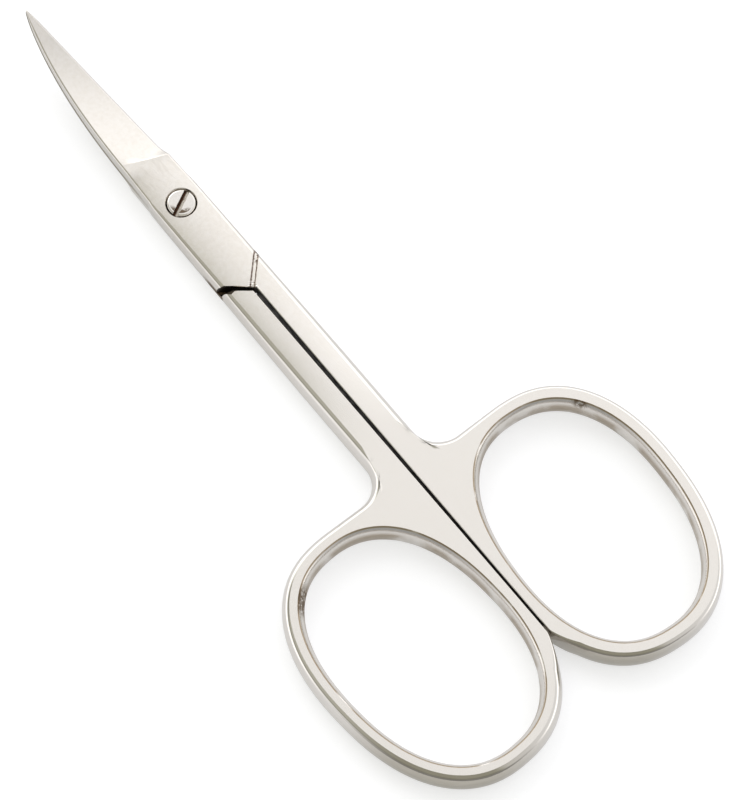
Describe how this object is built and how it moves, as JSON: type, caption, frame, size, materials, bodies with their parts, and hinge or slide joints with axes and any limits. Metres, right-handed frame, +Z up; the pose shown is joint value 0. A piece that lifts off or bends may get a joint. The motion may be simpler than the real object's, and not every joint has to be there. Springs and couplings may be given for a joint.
{
  "type": "cuticle scissors",
  "caption": "Small curved cuticle scissors: crossing steel halves that turn on a slotted screw, with bent blades, straight shanks and oval finger rings.",
  "frame": {"origin": "on the pivot axis, in the plane that the scissors rest on (the screw's end is ground flush with it)", "axes": "+X to the blade tips, +Y to the finger ring of the lower half, +Z up through the screw head, in the direction in which the blades bend"},
  "size_m": [0.0893, 0.0416, 0.0061],
  "materials": {
    "lower_half": "stainless steel, satin ground flat faces with fine scratches, polished rounded sides",
    "upper_half": "stainless steel, satin ground flat faces with fine scratches, polished rounded sides",
    "pivot_screw": "polished steel with a dark driver slot"
  },
  "bodies": {
    "lower": {"lower_half": "lower_half", "pivot_screw": "pivot_screw"},
    "upper": {"upper_half": "upper_half"}
  },
  "joints": [
    {"name": "pivot", "type": "hinge", "parent": "lower", "child": "upper", "pos_m": [0, 0, 0], "axis": [0, 0, 1], "range_deg": [0, 80]}
  ]
}
